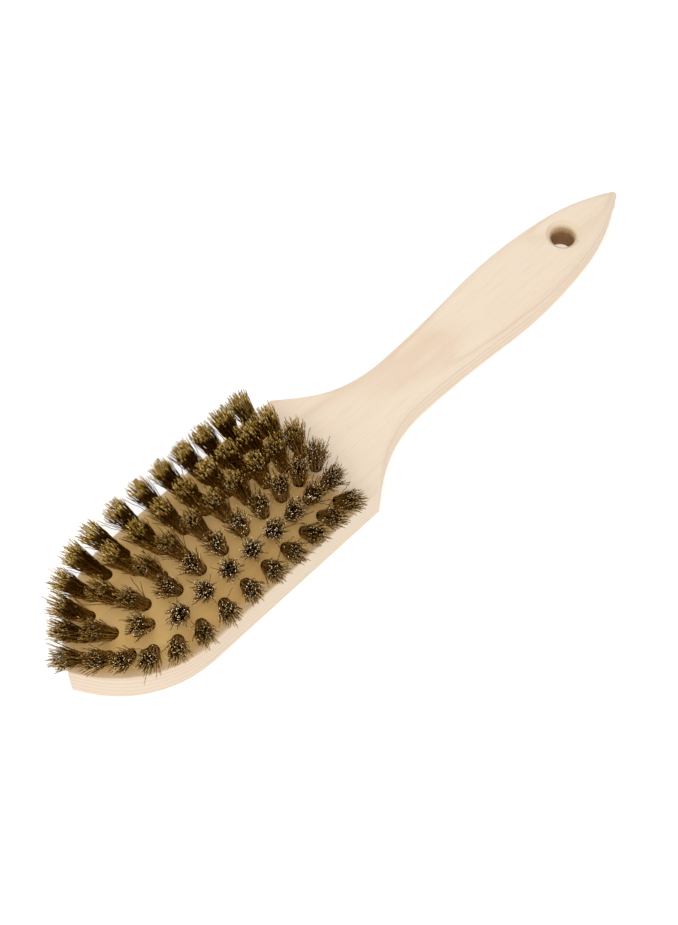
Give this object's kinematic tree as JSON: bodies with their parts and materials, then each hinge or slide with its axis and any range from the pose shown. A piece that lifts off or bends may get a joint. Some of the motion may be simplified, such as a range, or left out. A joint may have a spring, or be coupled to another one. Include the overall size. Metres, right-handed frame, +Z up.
{
  "type": "wire brush",
  "caption": "Hand wire brush: flat wooden board with a pointed head and a slim handle with a hanging hole, and splayed tufts of crimped brass wire for cleaning metal and weld seams.",
  "frame": {"origin": "on the floor under the middle of the brush's box, with the board lying on its flat back", "axes": "+X runs from the pointed toe to the end of the handle, +Z is up, out of the bristle face, and +Y is to the left seen from the handle"},
  "size_m": [0.2972, 0.0688, 0.0348],
  "materials": {
    "wood": "planed and sanded, unvarnished",
    "brass_wire": "drawn, crimped wire",
    "anchor_steel": "flat strip, as cut"
  },
  "bodies": {
    "root": {"body": "wood", "anchors": "anchor_steel", "tuft_inner_left_1": "brass_wire", "tuft_inner_left_2": "brass_wire", "tuft_inner_left_3": "brass_wire", "tuft_inner_left_4": "brass_wire", "tuft_inner_left_5": "brass_wire", "tuft_inner_left_6": "brass_wire", "tuft_inner_left_7": "brass_wire", "tuft_inner_left_8": "brass_wire", "tuft_inner_right_1": "brass_wire", "tuft_inner_right_2": "brass_wire", "tuft_inner_right_3": "brass_wire", "tuft_inner_right_4": "brass_wire", "tuft_inner_right_5": "brass_wire", "tuft_inner_right_6": "brass_wire", "tuft_inner_right_7": "brass_wire", "tuft_inner_right_8": "brass_wire", "tuft_middle_left_1": "brass_wire", "tuft_middle_left_2": "brass_wire", "tuft_middle_left_3": "brass_wire", "tuft_middle_left_4": "brass_wire", "tuft_middle_left_5": "brass_wire", "tuft_middle_left_6": "brass_wire", "tuft_middle_left_7": "brass_wire", "tuft_middle_left_8": "brass_wire", "tuft_middle_right_1": "brass_wire", "tuft_middle_right_2": "brass_wire", "tuft_middle_right_3": "brass_wire", "tuft_middle_right_4": "brass_wire", "tuft_middle_right_5": "brass_wire", "tuft_middle_right_6": "brass_wire", "tuft_middle_right_7": "brass_wire", "tuft_middle_right_8": "brass_wire", "tuft_outer_left_1": "brass_wire", "tuft_outer_left_2": "brass_wire", "tuft_outer_left_3": "brass_wire", "tuft_outer_left_4": "brass_wire", "tuft_outer_left_5": "brass_wire", "tuft_outer_left_6": "brass_wire", "tuft_outer_left_7": "brass_wire", "tuft_outer_left_8": "brass_wire", "tuft_outer_right_1": "brass_wire", "tuft_outer_right_2": "brass_wire", "tuft_outer_right_3": "brass_wire", "tuft_outer_right_4": "brass_wire", "tuft_outer_right_5": "brass_wire", "tuft_outer_right_6": "brass_wire", "tuft_outer_right_7": "brass_wire", "tuft_outer_right_8": "brass_wire", "toe_tufts_1": "brass_wire", "toe_tufts_2": "brass_wire", "toe_tufts_3": "brass_wire", "toe_tufts_4": "brass_wire", "toe_tufts_5": "brass_wire", "centre_tuft_1": "brass_wire", "centre_tuft_2": "brass_wire", "centre_tuft_3": "brass_wire"}
  },
  "joints": []
}
